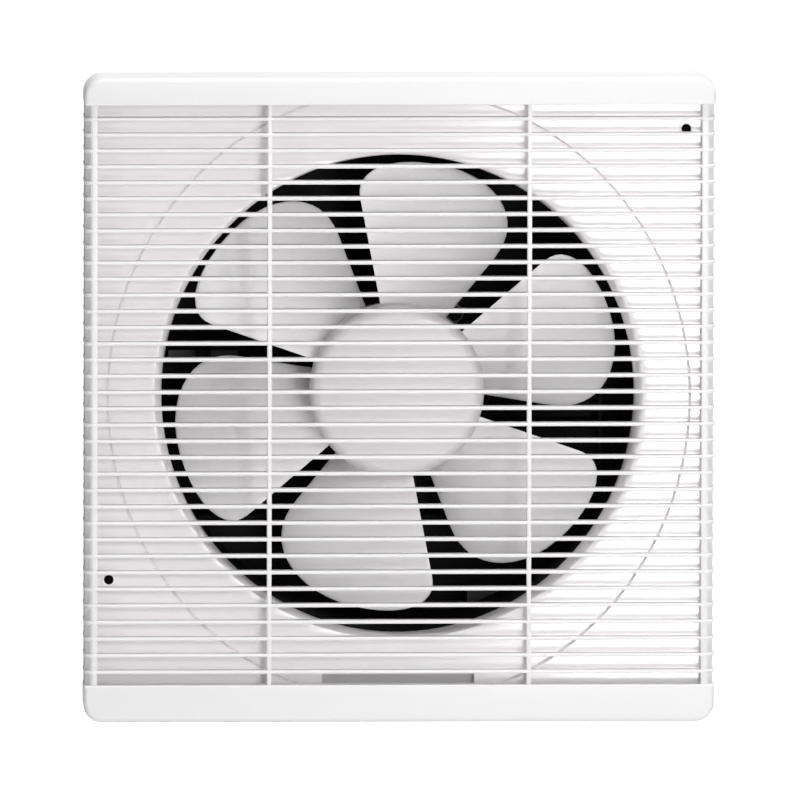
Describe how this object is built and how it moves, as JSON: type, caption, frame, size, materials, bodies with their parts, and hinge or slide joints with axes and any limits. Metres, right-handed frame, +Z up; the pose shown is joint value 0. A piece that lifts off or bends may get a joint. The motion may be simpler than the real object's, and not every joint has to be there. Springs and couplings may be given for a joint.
{
  "type": "wall exhaust fan",
  "caption": "Square wall exhaust fan with a barred clip-on grille, bell-mouth panel, bladed impeller on a motor, and linked gravity shutters at the back.",
  "frame": {"origin": "centre of the fan's axis on the wall face, which is the back of the casing's flange", "axes": "+X right as seen from the room, +Y out of doors along the fan's axis, +Z up"},
  "size_m": [0.343, 0.174, 0.353],
  "materials": {
    "white_shell": "satin moulded plastic",
    "black_shell": "fine moulded texture",
    "fan_plastic": "satin moulded plastic",
    "zinc_steel": "zinc plated",
    "core_steel": "stacked laminations",
    "winding": "enamelled copper",
    "motor_paint": "semi-gloss black paint",
    "box_plastic": "moulded",
    "pale_plastic": "moulded",
    "grommet_rubber": "soft",
    "lead_sleeve": "smooth sleeve"
  },
  "bodies": {
    "wall_unit": {"front_panel": "white_shell", "rear_casing": "black_shell", "duct_ring": "black_shell", "joint_screws": "zinc_steel", "front_bearing": "zinc_steel", "rear_bearing": "zinc_steel", "stator_core": "core_steel", "stator_windings": "winding", "motor_front_cover": "motor_paint", "motor_rear_cover": "motor_paint", "motor_screws": "zinc_steel", "motor_bracket": "motor_paint", "bracket_screws": "zinc_steel", "capacitor": "box_plastic", "capacitor_clip": "zinc_steel", "terminal_box": "box_plastic", "terminal_cover": "box_plastic", "terminal_block": "pale_plastic", "cord_grommet": "grommet_rubber", "motor_lead": "lead_sleeve", "shutter_frame": "black_shell", "shutter_frame_screws": "zinc_steel"},
    "grille": {"front_grille": "white_shell"},
    "rotor": {"impeller": "fan_plastic", "hub_cap": "fan_plastic", "impeller_nut": "zinc_steel", "impeller_washer": "zinc_steel", "motor_shaft": "zinc_steel", "rotor_core": "core_steel"},
    "shutter_1": {"shutter_1": "black_shell"},
    "shutter_2": {"shutter_2": "black_shell"},
    "shutter_3": {"shutter_3": "black_shell"},
    "shutter_4": {"shutter_4": "black_shell"},
    "shutter_5": {"shutter_5": "black_shell"},
    "link": {"shutter_link": "black_shell"}
  },
  "joints": [
    {"name": "grille_pull", "type": "slide", "parent": "wall_unit", "child": "grille", "axis": [0, -1, 0], "range_m": [0, 0.06]},
    {"name": "impeller_spin", "type": "hinge", "parent": "wall_unit", "child": "rotor", "pos_m": [0, 0, 0], "axis": [0, -1, 0], "continuous": true},
    {"name": "shutter_1_swing", "type": "hinge", "parent": "wall_unit", "child": "shutter_1", "pos_m": [0, 0.103, 0.1222], "axis": [1, 0, 0], "range_deg": [0, 75]},
    {"name": "shutter_2_swing", "type": "hinge", "parent": "wall_unit", "child": "shutter_2", "pos_m": [0, 0.103, 0.07072], "axis": [1, 0, 0], "range_deg": [0, 75]},
    {"name": "shutter_3_swing", "type": "hinge", "parent": "wall_unit", "child": "shutter_3", "pos_m": [0, 0.103, 0.01924], "axis": [1, 0, 0], "range_deg": [0, 75]},
    {"name": "shutter_4_swing", "type": "hinge", "parent": "wall_unit", "child": "shutter_4", "pos_m": [0, 0.103, -0.03224], "axis": [1, 0, 0], "range_deg": [0, 75]},
    {"name": "shutter_5_swing", "type": "hinge", "parent": "wall_unit", "child": "shutter_5", "pos_m": [0, 0.103, -0.08372], "axis": [1, 0, 0], "range_deg": [0, 75]},
    {"name": "link_swing", "type": "hinge", "parent": "shutter_1", "child": "link", "pos_m": [0, 0.095, 0.1332], "axis": [1, 0, 0], "range_deg": [-75, 0]}
  ],
  "couplings": [
    {"joint": "shutter_2_swing", "follows": "shutter_1_swing", "ratio": 1},
    {"joint": "shutter_3_swing", "follows": "shutter_1_swing", "ratio": 1},
    {"joint": "shutter_4_swing", "follows": "shutter_1_swing", "ratio": 1},
    {"joint": "shutter_5_swing", "follows": "shutter_1_swing", "ratio": 1},
    {"joint": "link_swing", "follows": "shutter_1_swing", "ratio": -1}
  ]
}
